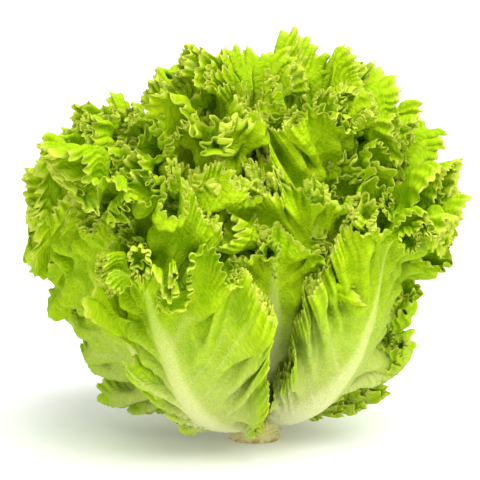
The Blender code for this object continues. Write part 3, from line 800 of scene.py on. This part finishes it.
def stem_material():
    n = Nodes("cut_stem")
    co = n.add("ShaderNodeTexCoord").outputs["Object"]
    split = n.add("ShaderNodeSeparateXYZ")
    n.put(split.inputs[0], co)
    blotch = n.noise(co, 90.0, 4.0, 0.6)
    fibre = n.add("ShaderNodeMapping")
    fibre.inputs["Scale"].default_value = (260.0, 260.0, 45.0)
    n.put(fibre.inputs["Vector"], co)
    fibres = n.noise(fibre.outputs[0], 1.0, 4.0, 0.6)
    colour = n.mix(blotch, (0.80, 0.75, 0.30), (0.88, 0.84, 0.44))
    colour = n.mix(n.ramp(fibres, 0.35, 0.8, 0.0, 0.5), colour, (0.62, 0.54, 0.18))
    low = n.ramp(split.outputs["Z"], 0.0, 0.0035, 1.0, 0.0)
    brown = n.math("MULTIPLY", n.math("ADD", n.math("MULTIPLY", low, 0.8), 0.22), n.ramp(n.noise(co, 210.0, 3.0), 0.42, 0.68))
    colour = n.mix(brown, colour, (0.42, 0.235, 0.07))
    shader = n.add("ShaderNodeBsdfPrincipled")
    n.put(shader.inputs["Base Color"], colour)
    n.put(shader.inputs["Roughness"], n.ramp(blotch, 0.3, 0.7, 0.45, 0.7))
    shader.inputs["Subsurface Weight"].default_value = 0.15
    shader.inputs["Subsurface Scale"].default_value = 0.003
    bump = n.add("ShaderNodeBump")
    bump.inputs["Strength"].default_value = 0.5
    bump.inputs["Distance"].default_value = 0.0006
    n.put(bump.inputs["Height"], fibres)
    n.put(shader.inputs["Normal"], bump.outputs[0])
    out = n.add("ShaderNodeOutputMaterial")
    n.tree.links.new(shader.outputs[0], out.inputs[0])
    return n.material


# ------------------------------------------------------------------ stem
def build_stem(material):
    """Stump with the scars of stripped leaves, running up into the core."""
    rng = np.random.default_rng(3)
    turns, theta = 288, None
    theta = np.arange(turns) * 2 * pi / turns
    heights = np.concatenate([[0.0, 0.0, 0.15, 0.5], np.linspace(1.0, 13.0, 34)])
    radii = np.concatenate([[STUMP_RADIUS - 1.1, STUMP_RADIUS - 0.35, STUMP_RADIUS - 0.08, STUMP_RADIUS],
                            np.interp(np.linspace(1.0, 13.0, 34), [1, STUMP_NECK_HEIGHT, 11, 13], [STUMP_RADIUS, STUMP_NECK_RADIUS, 16.4, 16.0])])
    for layer in (0.9, 0.8, 0.65, 0.5, 0.35, 0.2, 0.1):
        heights = np.append(heights, float(through(LAYER, FOOT_HEIGHT, layer)))
        radii = np.append(radii, float(through(LAYER, FOOT_RADIUS, layer)) - 0.1)
    order = np.argsort(heights, kind="stable")
    heights, radii = heights[order], radii[order]
    z = heights[None, :] + np.zeros((turns, 1))
    r = radii[None, :] + np.zeros((turns, 1))
    relief = 0.0
    for k in range(9):
        at, level, half = rng.uniform(0, 2 * pi), rng.uniform(2.2, 9.0), rng.uniform(0.45, 0.85)
        d = wrap(theta - at)[:, None] / half
        crest = level + 1.6 * (1 - d**2)
        inside = np.clip(1 - np.abs(d), 0, 1)
        relief = relief + 0.75 * np.exp(-((z - crest) / 0.55) ** 2) * smooth(inside * 3) - 0.35 * np.exp(-((z - crest + 1.3) / 0.8) ** 2) * smooth(inside * 3)
    ribs = sum(0.10 * np.sin(m * theta + rng.uniform(0, 6.28)) for m in (3, 5, 9, 14, 23, 37))[:, None]
    fade = smooth((z - 0.4) / 1.2) * (1 - smooth((z - 12) / 3))
    r = r + (relief + ribs) * fade + ribs * 0.5 * (1 - fade) * smooth(r / 10)
    p = np.stack([r * np.cos(theta)[:, None], r * np.sin(theta)[:, None], z], -1)
    p = bend(p)
    p[..., 2] = np.maximum(p[..., 2], 0.0)
    rows = p.shape[1]
    # flat cut face: rings towards the middle
    inner = [0.93, 0.86, 0.72, 0.5, 0.25]
    rings = [np.stack([p[:, 0, 0] * k, p[:, 0, 1] * k, np.zeros(turns)], -1) for k in inner]
    grid = np.concatenate([np.stack(rings[::-1], 1), p], 1)
    rows = grid.shape[1]
    co = grid.transpose(1, 0, 2).reshape(-1, 3)
    top = grid[:, -1].mean(0) + np.array([0, 0, 1.2])
    co = np.concatenate([co, [[0.0, 0.0, 0.0]], [top]]) * MM
    faces = []
    for j in range(rows - 1):
        for i in range(turns):
            k = (i + 1) % turns
            faces.append((j * turns + i, j * turns + k, (j + 1) * turns + k, (j + 1) * turns + i))
    for i in range(turns):
        k = (i + 1) % turns
        faces.append((k, i, rows * turns))
        faces.append(((rows - 1) * turns + i, (rows - 1) * turns + k, rows * turns + 1))
    mesh = bpy.data.meshes.new("stem_finished")
    mesh.from_pydata(co.tolist(), [], faces)
    mesh.update()
    mesh.shade_smooth()
    mesh.materials.append(material)
    obj = bpy.data.objects.new("stem_finished", mesh)
    bpy.context.scene.collection.objects.link(obj)
    return obj


# ------------------------------------------------------------------ head
def leaf_name(i):
    zone = ("outer", "middle", "heart")[0 if i < 9 else 1 if i < 18 else 2]
    return "%s_leaf_%02d" % (zone, i + 1 if i < 9 else i - 8 if i < 18 else i - 17)


stem = build_stem(stem_material())
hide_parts("stem")
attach(stem, "root")
shades = [leaf_material("outer_leaf_green", 0.0), leaf_material("middle_leaf_green", 0.45), leaf_material("heart_leaf_green", 0.9)]
for i in range(LEAF_COUNT):
    node = leaf_name(i)
    leaf = build_leaf(i, node + "_finished", shades[0 if i < 9 else 1 if i < 18 else 2])
    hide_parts(node)
    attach(leaf, "root")

# ------------------------------------------------------------------ floor, light, camera
floor_mesh = bpy.data.meshes.new("floor")
floor_mesh.from_pydata([(-4, -4, 0), (4, -4, 0), (4, 6, 0), (-4, 6, 0)], [], [(0, 1, 2, 3)])
floor = bpy.data.objects.new("floor", floor_mesh)
floor.location.z = -0.0002
bpy.context.scene.collection.objects.link(floor)
floor_nodes = Nodes("floor_white")
floor_shader = floor_nodes.add("ShaderNodeBsdfPrincipled")
floor_shader.inputs["Base Color"].default_value = (0.93, 0.93, 0.93, 1)
floor_shader.inputs["Emission Color"].default_value = (1, 1, 1, 1)
floor_shader.inputs["Emission Strength"].default_value = 0.10
floor_shader.inputs["Roughness"].default_value = 0.9
floor_out = floor_nodes.add("ShaderNodeOutputMaterial")
floor_nodes.tree.links.new(floor_shader.outputs[0], floor_out.inputs[0])
floor_mesh.materials.append(floor_nodes.material)

scene = bpy.context.scene
world = bpy.data.worlds.new("studio")
scene.world = world
world.use_nodes = True
world.node_tree.nodes["Background"].inputs[0].default_value = (1, 1, 1, 1)
world.node_tree.nodes["Background"].inputs[1].default_value = 0.78


sun = bpy.data.lights.new("key", "SUN")
sun.energy, sun.angle = 3.3, radians(64)
sun_obj = bpy.data.objects.new("key", sun)
scene.collection.objects.link(sun_obj)
sun_obj.rotation_euler = Vector((0.44, -0.56, 1.22)).to_track_quat("Z", "Y").to_euler()

CAMERA_ELEVATION, CAMERA_DISTANCE, PIXEL = 9.0, 1.7, 0.0006416
camera = bpy.data.cameras.new("camera")
camera_obj = bpy.data.objects.new("camera", camera)
scene.collection.objects.link(camera_obj)
tilt = radians(CAMERA_ELEVATION)
back_way = Vector((0, -cos(tilt), sin(tilt)))
camera_obj.location = Vector((-0.0096, 0, 0.130)) + back_way * CAMERA_DISTANCE
camera_obj.rotation_mode = "QUATERNION"
camera_obj.rotation_quaternion = back_way.to_track_quat("Z", "Y")
camera.sensor_width = 36.0
camera.lens = 36.0 * CAMERA_DISTANCE / (480 * PIXEL)
camera.clip_end = 20
scene.camera = camera_obj
scene.view_settings.view_transform = "Standard"
scene.view_settings.look = "None"
